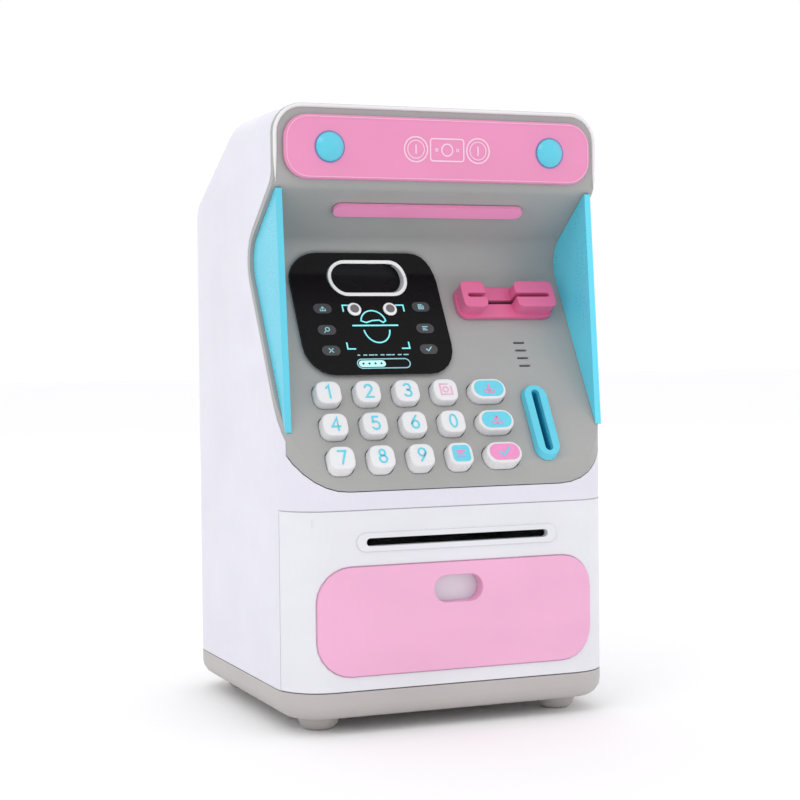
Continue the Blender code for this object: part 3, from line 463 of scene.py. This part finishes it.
def artwork(name, faces, origin, material, body, up=UP, out=OUT, lift=PRINT_LIFT):
    """A thin raised print of flat faces, given as (u, v) points in metres about an origin on a surface."""
    mesh = bmesh.new()
    for face in faces:
        corners = []
        for u, v in face:
            corners.append(mesh.verts.new(origin + X * u + up * v + out * lift))
        made = mesh.faces.new(corners)
        made.normal_update()
        if made.normal.dot(out) < 0:
            made.normal_flip()
    bmesh.ops.remove_doubles(mesh, verts=mesh.verts, dist=WELD_DISTANCE)
    data = bpy.data.meshes.new(name)
    mesh.to_mesh(data)
    mesh.free()
    piece = bpy.data.objects.new(name, data)
    bpy.context.scene.collection.objects.link(piece)
    solid = piece.modifiers.new("ink", "SOLIDIFY")
    solid.thickness = PRINT_T
    solid.offset = 1.0
    piece.data.materials.append(material)
    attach(piece, body)


def moved(faces, center):
    """Faces moved to a center."""
    return [[(u + center[0], v + center[1]) for u, v in face] for face in faces]


def in_mm(*points):
    """Points given in millimetres, in metres."""
    return [(u * MM, v * MM) for u, v in points]


def grown(size, *points):
    """Points of a glyph drawn one unit wide, at its size."""
    return [(u * size, v * size) for u, v in points]


def lines(width, *paths):
    """Stroke several open paths."""
    faces = []
    for path in paths:
        faces += stroke(path, width)
    return faces


# Each digit's open and closed lines, one unit high
DIGITS = {
    "0": ([], [oval((0.28, 0.5), 0.26, 0.5)]),
    "1": ([[(0.10, 0.80), (0.32, 1.0), (0.32, 0.0)]], []),
    "2": ([arc((0.28, 0.72), (0.27, 0.28), 165, -35) + [(0.02, 0.0), (0.58, 0.0)]], []),
    "3": ([arc((0.26, 0.75), (0.25, 0.25), 150, -90) + arc((0.26, 0.26), (0.28, 0.26), 90, -150)], []),
    "4": ([[(0.44, 0.0), (0.44, 1.0), (0.0, 0.30), (0.60, 0.30)]], []),
    "5": ([[(0.50, 1.0), (0.12, 1.0), (0.08, 0.56)] + arc((0.27, 0.31), (0.29, 0.31), 128, -145)], []),
    "6": ([[(0.44, 1.0), (0.20, 0.68), (0.03, 0.36)]], [oval((0.29, 0.30), 0.27, 0.30)]),
    "7": ([[(0.0, 1.0), (0.56, 1.0), (0.20, 0.0)]], []),
    "8": ([], [oval((0.28, 0.76), 0.21, 0.24), oval((0.28, 0.27), 0.27, 0.27)]),
    "9": ([[(0.14, 0.0), (0.38, 0.32), (0.55, 0.64)]], [oval((0.29, 0.70), 0.27, 0.30)]),
}


def digit(text, height, width):
    """A digit's faces, centred on the origin."""
    opened, closed = DIGITS[text]
    middle = (0.29, 0.5)
    faces = []
    for paths, ring in ((opened, False), (closed, True)):
        for path in paths:
            line = [((u - middle[0]) * height, (v - middle[1]) * height) for u, v in path]
            faces += stroke(line, width, ring)
    return faces


def top_of(node):
    """The middle of the face of a key that looks along OUT."""
    vertices = [vert.co for vert in NODES[node].data.vertices]
    high = max(co.dot(OUT) for co in vertices)
    top = [co for co in vertices if high - co.dot(OUT) < 0.02 * MM]
    low = Vector(min(co[i] for co in top) for i in range(3))
    far = Vector(max(co[i] for co in top) for i in range(3))
    return (low + far) / 2


def print_digits():
    """The digit on each digit key."""
    for text in DIGITS:
        key = f"key_{text}"
        artwork(f"print_{text}", digit(text, DIGIT_H, STROKE), top_of(key), INK_CYAN, BODY_OF[key])


def menu_glyph(size, width):
    """A page with a small coin in it."""
    page = grown(size, (-0.5, 0.5), (-0.5, -0.5), (0.5, -0.5), (0.5, 0.25))
    head = grown(size, (-0.5, 0.5), (0.22, 0.5))
    coin = oval((-0.04 * size, -0.02 * size), 0.24 * size, 0.24 * size, 16)
    return lines(width, page, head) + stroke(coin, width, True)


def arrow_glyph(size, width, way):
    """A tray with an arrow into it (way 1) or out of it (way -1)."""
    shaft = grown(size, (0.0, 0.5 * way), (0.0, -0.32 * way))
    head = grown(size, (-0.26, -0.06 * way), (0.0, -0.36 * way), (0.26, -0.06 * way))
    tray = grown(size, (-0.5, -0.16), (-0.5, -0.5), (0.5, -0.5), (0.5, -0.16))
    return lines(width, shaft, head, tray)


def check_glyph(size, width):
    """A check mark."""
    return lines(width, grown(size, (-0.45, 0.0), (-0.1, -0.34), (0.5, 0.38)))


def bars_glyph(size, width):
    """A small list: three lines of different length."""
    rows = []
    for v, length in ((0.36, 1.0), (0.0, 0.62), (-0.36, 0.86)):
        rows.append(grown(size, (-0.5, v), (length - 0.5, v)))
    return lines(width, *rows)


def glass_glyph(width):
    """A magnifying glass."""
    lens = oval((0.2 * MM, 0.2 * MM), 0.8 * MM, 0.8 * MM, 14)
    return stroke(lens, width, True) + lines(width, in_mm((-0.5, -0.5), (-1.2, -1.2)))


def cross_glyph(size, width):
    """Two crossed strokes."""
    return lines(width, grown(size, (-0.5, 0.5), (0.5, -0.5)), grown(size, (-0.5, -0.5), (0.5, 0.5)))


def print_key_signs():
    """Symbols on the five keys that carry no digit."""
    page = menu_glyph(4.4 * MM, 0.5 * MM)
    artwork("print_menu", page, top_of("key_menu"), INK_BLUSH, BODY_OF["key_menu"])
    signs = {
        "key_info": (SQUARE_FILL, INK_CYAN, INK_PINK, bars_glyph(3.0 * MM, 0.55 * MM)),
        "key_deposit": (WIDE_FILL, INK_CYAN, INK_PINK, arrow_glyph(3.4 * MM, 0.55 * MM, 1)),
        "key_withdraw": (WIDE_FILL, INK_CYAN, INK_PINK, arrow_glyph(3.4 * MM, 0.55 * MM, -1)),
        "key_enter": (WIDE_FILL, INK_PINK, INK_CYAN, check_glyph(4.2 * MM, 0.8 * MM)),
    }
    for key, (size, fill_ink, glyph_ink, glyph) in signs.items():
        fill = [rounded((0.0, 0.0), *size)]
        artwork(f"{key}_fill", fill, top_of(key), fill_ink, BODY_OF[key])
        artwork(f"{key}_glyph", glyph, top_of(key), glyph_ink, BODY_OF[key], lift=SECOND_LIFT)


def display_origin():
    """A point of the display's flat part, midway between the scanner's eyes."""
    left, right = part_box("eye_led_left"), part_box("eye_led_right")
    between = (left[0] + left[1] + right[0] + right[1]) / 4
    flat = []
    for vert in NODES["display_panel"].data.vertices:
        if vert.co.dot(UP) < between.dot(UP):
            flat.append(vert.co.dot(OUT))
    return between + OUT * (max(flat) - between.dot(OUT))


def show(name, faces, material, lift=PRINT_LIFT):
    """A print on the display, about the middle of the scanner's eyes."""
    artwork(name, faces, EYES_MIDDLE, material, HOUSING, lift=lift)


def print_scanner():
    """The scanner's frame, line and face, and the caption below it."""
    corners = []
    places = ((-11.6, 2.0, 1, -1), (13.0, 2.0, -1, -1), (-13.0, -17.0, 1, 1), (11.8, -17.0, -1, 1))
    for u, v, across, down in places:
        corners.append(in_mm((u + across * 3.0, v), (u, v), (u, v + down * 2.6)))
    show("scan_corners", lines(DISPLAY_LINE, *corners), INK_ICON)

    level = -6.9
    show("scan_line", stroke(in_mm((-9.0, level), (9.0, level)), 0.62 * MM), INK_ICON)
    crown = arc((-0.4 * MM, (level + 1.3) * MM), (5.0 * MM, 5.2 * MM), 8, 172, 16)
    locks = in_mm((-3.4, level + 1.3), (-1.0, level + 2.1), (2.0, level + 2.3), (3.4, level + 1.3))
    fringe = [crown[-1], *locks, crown[0]]
    chin = arc((0.2 * MM, (level - 1.3) * MM), (5.2 * MM, 6.2 * MM), 188, 352, 16)
    show("face_outline", lines(DISPLAY_LINE, crown, fringe, chin), INK_ICON)

    dashes = []
    for i in range(9):
        u = -9.6 + i * 2.3
        dashes.append(in_mm((u, -19.7), (u + 0.7 + 0.5 * (i % 3), -19.7)))
    show("caption_dashes", lines(0.45 * MM, *dashes), INK_DIM)


def print_progress():
    """The progress bar at the display's foot, half full."""
    level = -23.4 * MM
    rim = rounded((0.0, level), 21.0 * MM, 3.9 * MM, 1.94 * MM)
    show("progress_rim", stroke(rim, 0.4 * MM, True), INK_DIM)
    show("progress_fill", [rounded((-4.6 * MM, level), 10.6 * MM, 2.7 * MM, 1.34 * MM)], INK_GLOW)
    dots = [oval(((-8.2 + 2.4 * i) * MM, level), 0.45 * MM, 0.45 * MM, 10) for i in range(4)]
    show("progress_dots", dots, INK_BLACK, SECOND_LIFT)


def print_buttons():
    """Three pills down each side of the display, each with a small symbol."""
    buttons = (
        (-19.7, 0.6, arrow_glyph(2.0 * MM, THIN_LINE, -1)),
        (-19.7, -8.7, glass_glyph(THIN_LINE)),
        (-19.7, -17.6, cross_glyph(1.6 * MM, THIN_LINE)),
        (20.2, 1.2, menu_glyph(1.9 * MM, 0.34 * MM)),
        (19.9, -8.4, bars_glyph(2.0 * MM, THIN_LINE)),
        (19.4, -17.5, check_glyph(2.2 * MM, 0.42 * MM)),
    )
    for i, (u, v, glyph) in enumerate(buttons):
        center = (u * MM, v * MM)
        show(f"button_{i + 1}", [rounded(center, 7.2 * MM, 4.2 * MM, 2.08 * MM)], INK_PILL)
        show(f"button_{i + 1}_sign", moved(glyph, center), INK_DIM, SECOND_LIFT)


def print_eyes():
    """The grey woven centre of each scanner eye."""
    for side in ("left", "right"):
        low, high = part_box(f"eye_led_{side}")
        center = (low + high) / 2
        top = max(vert.co.dot(OUT) for vert in NODES[f"eye_led_{side}"].data.vertices)
        spot = center + OUT * (top - center.dot(OUT))
        disc = [oval((0.0, 0.0), 1.75 * MM, 1.75 * MM)]
        artwork(f"eye_spot_{side}", disc, spot, INK_GREY, HOUSING)


def print_sign():
    """Outlined coin, note and coin in the middle of the sign."""
    low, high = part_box("sign_panel")
    origin = Vector(((low.x + high.x) / 2, low.y, (low.z + high.z) / 2))
    wide, thin = 0.55 * MM, 0.385 * MM
    faces = []
    for u in (-10.5, 14.5):
        faces += stroke(oval((u * MM, 0.0), 4.6 * MM, 4.6 * MM, 32), wide, True)
        faces += stroke(oval((u * MM, 0.0), 3.3 * MM, 3.3 * MM, 28), thin, True)
        faces += lines(wide, in_mm((u, 1.5), (u, -1.5)))
    faces += stroke(rounded((2.0 * MM, 0.0), 13.4 * MM, 8.2 * MM, 1.0 * MM), wide, True)
    faces += stroke(oval((2.0 * MM, 0.0), 2.2 * MM, 2.2 * MM, 24), wide, True)
    for u in (-2.2, 6.2):
        faces += stroke(oval((u * MM, 0.0), 0.5 * MM, 0.5 * MM, 10), thin, True)
    artwork("sign_icons", faces, origin, INK_PALE, HOUSING, up=SKY, out=FRONT)


# ---------------------------------------------------------------- added trim

def add_mesh(name, vertices, faces, material, body):
    """A closed mesh that rides on a body."""
    data = bpy.data.meshes.new(name)
    data.from_pydata(vertices, [], faces)
    mesh = bmesh.new()
    mesh.from_mesh(data)
    bmesh.ops.recalc_face_normals(mesh, faces=mesh.faces)
    mesh.to_mesh(data)
    mesh.free()
    data.materials.append(material)
    piece = bpy.data.objects.new(name, data)
    bpy.context.scene.collection.objects.link(piece)
    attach(piece, body)
    return piece


def ring_faces(count):
    """The faces of a closed ring whose section has four corners, each a loop of count points."""
    faces = []
    for i in range(count):
        on = (i + 1) % count
        for a, b in ((0, 1), (1, 3), (3, 2), (2, 0)):
            faces.append((a * count + i, a * count + on, b * count + on, b * count + i))
    return faces


def front_plan(inset, depth):
    """The body's front seen from above, shrunk by an inset: left end, both rounded corners, right end."""
    low, high = CAD_BODY
    radius = BODY_CORNER_R - inset
    center = (high.x - BODY_CORNER_R, low.y + BODY_CORNER_R)
    start = degrees(asin((center[1] - low.y - depth) / radius))
    right = arc(center, radius, -90, -start, 8)
    left = [(-x, y) for x, y in right[::-1]]
    return left + right


def strip(name, outer, inner, heights, material, body):
    """A flat strip between two plan paths, from one height to another, that fills a seam."""
    count = len(outer)
    vertices = []
    for height in heights:
        vertices += [(x, y, height) for x, y in outer + inner]
    faces = []
    for i in range(count - 1):
        for base in (0, 2 * count):
            faces.append((base + i, base + i + 1, base + count + i + 1, base + count + i))
        for side in (0, count):
            faces.append((side + i, side + i + 1, side + i + 1 + 2 * count, side + i + 2 * count))
    for i in (0, count - 1):
        faces.append((i, i + count, i + 3 * count, i + 2 * count))
    return add_mesh(name, vertices, faces, material, body)


def seam_strips():
    """Lips just below the surface: two beside the door and one above it close seams, one stands at its foot."""
    tray, door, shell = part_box("base_tray"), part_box("door"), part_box("body_shell")
    slack = 0.04 * MM
    sunk, deep = 0.35 * MM, 1.7 * MM
    # The tray's highest point is its hinge boss, so this lip reaches up into the foot of the door
    low, high = tray[1].z + slack, min(door[0].z, shell[0].z) - slack
    depth = BODY_CORNER_R - slack
    strip("seam_tray", front_plan(sunk, depth), front_plan(deep, depth), (low, high), SEAM_GREY, HOUSING)
    low, high = door[1].z + slack, door[1].z + SEAM - slack
    outer, inner = front_plan(sunk, DOOR_WRAP), front_plan(deep, DOOR_WRAP)
    strip("seam_door_top", outer, inner, (low, high), SEAM_WHITE, HOUSING)
    for side, end in (("left", 0), ("right", -1)):
        corners = []
        for inset in (sunk, deep):
            for reach in (DOOR_WRAP + slack, DOOR_WRAP + SEAM - slack):
                corners.append(front_plan(inset, reach)[end])
        outer, inner = corners[:2], corners[2:]
        strip(f"seam_door_{side}", outer, inner, (door[0].z, high), SEAM_WHITE, HOUSING)


def plate_seam():
    """A pink lip that closes the seam round the door's plate and follows the door's rounded corners."""
    body_low, body_high = CAD_BODY
    low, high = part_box("door_plate")
    middle = ((low.x + high.x) / 2, (low.z + high.z) / 2)
    slack = 0.05 * MM
    vertices = []
    for sunk in (0.1 * MM, 0.7 * MM):
        for grow in (slack, SEAM - slack):
            ring = rounded(middle, high.x - low.x + 2 * grow, high.z - low.z + 2 * grow, PLATE_R + grow)
            for x, z in ring:
                past = max(abs(x) - (body_high.x - BODY_CORNER_R), 0.0)
                y = body_low.y + BODY_CORNER_R - sqrt((BODY_CORNER_R - sunk) ** 2 - past ** 2)
                vertices.append((x, y, z))
    add_mesh("seam_plate", vertices, ring_faces(len(ring)), SEAM_PINK, BODY_OF["door"])


def coin_sleeve():
    """The blue lining that leads a coin from the bezel's slot through the fascia, in the bezel's cyan darkened as
    painted shade inside the slot.
    """
    bezel = [vert.co for vert in NODES["coin_slot_bezel"].data.vertices]
    low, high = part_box("coin_slot_bezel")
    foot = min(co.dot(OUT) for co in bezel)
    along = (min(co.dot(UP) for co in bezel) + max(co.dot(UP) for co in bezel)) / 2
    origin = X * ((low.x + high.x) / 2) + UP * along + OUT * foot
    wall, slack = 0.25 * MM, 0.03 * MM
    rings = []
    for inset in (slack, wall):
        width, length = COIN_SLOT[0] - 2 * inset, COIN_SLOT[1] - 2 * inset
        rings.append(rounded((0.0, 0.0), width, length, width / 2 - 0.001 * MM, 5))
    count = len(rings[0])
    vertices = []
    for depth in (1.2 * MM, -5.0 * MM):
        for ring in rings:
            vertices += [origin + X * u + UP * v + OUT * depth for u, v in ring]
    sleeve = add_mesh("coin_sleeve", vertices, ring_faces(count), CYAN_SLOT_SHADE, HOUSING)


def lamp_shadow_rings():
    """A thin dark ring round each lamp of the sign: painted shadow at the foot of the dome."""
    face_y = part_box("sign_panel")[0].y
    for side in ("left", "right"):
        low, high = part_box(f"sign_lamp_{side}")
        origin = Vector(((low.x + high.x) / 2, face_y, (low.z + high.z) / 2))
        radius = (high.x - low.x) / 2 + 0.22 * MM
        ring = stroke(oval((0.0, 0.0), radius, radius, 36), 0.45 * MM, True)
        artwork(f"lamp_ring_{side}", ring, origin, INK_LAMP_SHADOW, HOUSING, up=SKY, out=FRONT)


def sign_highlight_line():
    """A pale line where the sign's face meets its rounded edge: painted highlight along the bevel."""
    low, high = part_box("sign_panel")
    inset = 0.9 * MM
    origin = Vector(((low.x + high.x) / 2, low.y, (low.z + high.z) / 2))
    outline = rounded((0.0, 0.0), high.x - low.x - 2 * inset, high.z - low.z - 2 * inset, SIGN_R - inset)
    rim = stroke(outline, 0.35 * MM, True)
    artwork("sign_highlight_line", rim, origin, INK_SIGN_HIGHLIGHT, HOUSING, up=SKY, out=FRONT)


def hood_bead():
    """The rounded rim round the hood's front, coloured pale grey as painted highlight on its curve."""
    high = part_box("front_fascia")[1]
    sign_low, sign_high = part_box("sign_panel")
    inset = BEAD_R * 1.1
    radius = HOOD_CORNER_R - inset
    face_y = sign_high.y + SIGN_GAP
    foot = sign_low.z - 1.0 * MM
    center = (high.x - HOOD_CORNER_R, high.z - HOOD_CORNER_R)
    right = [(high.x - inset, foot + BEAD_FADE * i / 4) for i in range(5)]
    right += arc(center, radius, 0, 90, 8)
    path = right + [(-x, z) for x, z in right[::-1]]
    sides = 10
    vertices, faces = [], []
    for i, point in enumerate(path):
        before, after = path[max(i - 1, 0)], path[min(i + 1, len(path) - 1)]
        along = (Vector(after) - Vector(before)).normalized()
        size = BEAD_R * min(1.0, 0.15 + (point[1] - foot) / BEAD_FADE)
        for step in range(sides):
            angle = 2 * pi * step / sides
            across, ahead = size * cos(angle), size * sin(angle)
            vertices.append((point[0] - along.y * across, face_y + ahead, point[1] + along.x * across))
    for i in range(len(path) - 1):
        for step in range(sides):
            turn = (step + 1) % sides
            near, far = i * sides, (i + 1) * sides
            faces.append((near + step, near + turn, far + turn, far + step))
    faces.append(tuple(range(sides)))
    faces.append(tuple(range((len(path) - 1) * sides, len(path) * sides)))
    bead = add_mesh("hood_bead", vertices, faces, BEAD_HIGHLIGHT_GREY, HOUSING)
    for face in bead.data.polygons:
        face.use_smooth = len(face.vertices) == 4


# ---------------------------------------------------------------- studio

def floor():
    """A wide pale floor at the height of the feet."""
    level = CAD_BOX[0][2]
    corners = [(x * FLOOR_REACH, y * FLOOR_REACH, level) for x, y in ((-1, -1), (1, -1), (1, 1), (-1, 1))]
    sheet = bpy.data.meshes.new("floor")
    sheet.from_pydata(corners, [], [(0, 1, 2, 3)])
    sheet.materials.append(ground("studio_paper"))
    ground_piece = bpy.data.objects.new("floor", sheet)
    bpy.context.scene.collection.objects.link(ground_piece)


def surround():
    """An even, almost white surround."""
    world = bpy.data.worlds.new("studio")
    world.use_nodes = True
    background = world.node_tree.nodes["Background"]
    background.inputs["Color"].default_value = SURROUND
    background.inputs["Strength"].default_value = SURROUND_STRENGTH
    bpy.context.scene.world = world
    bpy.context.scene.view_settings.view_transform = "Standard"


def lights():
    """Soft lights that look at the middle of the object."""
    low, high = CAD_BOX
    middle = Vector(((low[0] + high[0]) / 2, (low[1] + high[1]) / 2, (low[2] + high[2]) / 2))
    for name, place, size, power in LIGHTS:
        light = bpy.data.lights.new(name, "AREA")
        light.size = size
        light.energy = power
        lamp = bpy.data.objects.new(name, light)
        lamp.location = Vector(place)
        lamp.rotation_euler = (middle - lamp.location).to_track_quat("-Z", "Y").to_euler()
        bpy.context.scene.collection.objects.link(lamp)


def camera():
    """The photograph's viewpoint."""
    lens = bpy.data.cameras.new("camera")
    lens.sensor_width = 36.0
    lens.lens = CAMERA_LENS
    viewer = bpy.data.objects.new("camera", lens)
    viewer.location = CAMERA_PLACE
    viewer.rotation_euler = [radians(angle) for angle in CAMERA_TURN]
    bpy.context.scene.collection.objects.link(viewer)
    bpy.context.scene.camera = viewer


# ---------------------------------------------------------------- build

INK_CYAN = printed("ink_cyan", CYAN_PRINT)
INK_PINK = printed("ink_pink", PINK_PRINT)
# The display's icons, dim lines and progress fill glow: painted light on printed ink.
INK_ICON = printed("ink_icon", ICON_CYAN, 0.25)
INK_DIM = printed("ink_dim", (0.30, 0.62, 0.66), 0.05)
INK_GLOW = printed("ink_glow", (0.45, 0.86, 0.86), 0.3)
INK_BLACK = printed("ink_black", (0.02, 0.03, 0.03))
INK_PILL = printed("ink_pill", (0.045, 0.045, 0.05))
INK_GREY = printed("ink_grey", (0.16, 0.15, 0.15))
# Dark ring round the sign's lamps: painted shadow.
INK_LAMP_SHADOW = printed("ink_lamp_shadow", (0.22, 0.20, 0.45))
INK_PALE = printed("ink_pale", (0.86, 0.58, 0.70))
INK_BLUSH = printed("ink_blush", (0.80, 0.42, 0.58))
# Pale pink line round the sign's face: painted highlight on its rounded edge.
INK_SIGN_HIGHLIGHT = printed("ink_sign_highlight", (0.85, 0.43, 0.61))

# The bezel's cyan darkened: painted shade for the inside of the coin slot.
CYAN_SLOT_SHADE = moulded("cyan_slot_shade", (0.02, 0.36, 0.56), 0.35, 0.1)
SEAM_GREY = moulded("seam_grey", (0.50, 0.50, 0.52), 0.45)
SEAM_WHITE = moulded("seam_white", (0.72, 0.72, 0.75), 0.45)
SEAM_PINK = moulded("seam_pink", (0.74, 0.50, 0.62), 0.45)
# Pale grey of the hood's rim: painted highlight.
BEAD_HIGHLIGHT_GREY = moulded("bead_highlight_grey", (0.80, 0.80, 0.80), 0.38)

KEYS = [node for node in NODES if node.startswith("key_")]

# The shell and the door share one white plastic; their two colours paint the shade of the sides and the light on
# the front.
paint(moulded("shell_white", WHITE_SIDE_SHADE, 0.38, soft=0.05), "body_shell", "battery_cover")
paint(moulded("door_white", WHITE_FRONT_LIT, 0.36, soft=0.05), "door")
paint(moulded("key_white", KEY_WHITE, 0.30, 0.4, soft=0.08), "keypad_membrane", "drive_gear", *KEYS)
paint(moulded("trim_white", (0.93, 0.93, 0.93), 0.30, 0.2), "window_bezel", "eye_led_left", "eye_led_right")
paint(moulded("fascia_grey", GREY_FASCIA, 0.40, 0.8, flake=0.25), "front_fascia")
paint(moulded("tray_grey", GREY_TRAY, 0.45, 0.9), "base_tray", "deck", "battery_box", "feed_frame",
      "foot_front_left", "foot_front_right", "foot_rear_left", "foot_rear_right")
# The plate and the sign get broad, strong edge paling: painted highlight along their rims.
paint(moulded("panel_pink", PINK_DOOR, 0.38, 0.9, edge_wear_and_highlight=0.9, edge=0.6), "door_plate")
paint(moulded("sign_pink", PINK_SIGN, 0.35, 0.6, edge_wear_and_highlight=0.9, edge=0.9), "sign_panel")
paint(moulded("bar_pink", scaled(PINK_SIGN, 1.15), 0.35, 0.6), "ceiling_light_bar")
paint(moulded("inlet_pink", PINK_INLET, 0.34, 0.5, soft=0.05), "note_inlet")
paint(moulded("cyan", CYAN, 0.30, 0.05, edge=0.15), "coin_slot_bezel", "wing_left")
# The right wing's cyan is brightened and made to glow faintly: painted light on its shaded inner face, as the wing
# is no lamp.
paint(moulded("cyan_painted_light", scaled(CYAN, 1.05), 0.30, 0.05, edge=0.15, glow=0.1), "wing_right")
paint(moulded("lamp_cyan", (0.09, 0.58, 0.74), 0.18, 0.05, coat=0.3), "sign_lamp_left", "sign_lamp_right")
paint(glossy_black("display_black", BLACK), "display_panel")
paint(moulded("chute_black", (0.03, 0.03, 0.032), 0.45), "note_chute", "coin_chute")
paint(glossy_black("lens_black", LENS_BLACK), "window_lens")
paint(laminate("board_green"), "keypad_board")
paint(rubber("rubber_dark", (0.035, 0.035, 0.038)), "drive_roller", "idler_roller", "power_switch")
paint(metal("steel", (0.60, 0.60, 0.62), 0.28), "hinge_rod", "latch_bolt", "latch_solenoid", "speaker",
      "battery_cover_screw", "drive_shaft", "feed_motor")
paint(metal("brass", (0.72, 0.52, 0.20), 0.26), "motor_pinion")
cell_low, cell_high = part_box("battery_1")
paint(cell_jacket("battery_jacket", cell_low.x, cell_high.x), "battery_1", "battery_2", "battery_3")

for node in NODES:
    smooth_node(node)

print_digits()
print_key_signs()
EYES_MIDDLE = display_origin()
print_scanner()
print_progress()
print_buttons()
print_eyes()
print_sign()
sign_highlight_line()
lamp_shadow_rings()
seam_strips()
plate_seam()
coin_sleeve()
hood_bead()
floor()
surround()
lights()
camera()
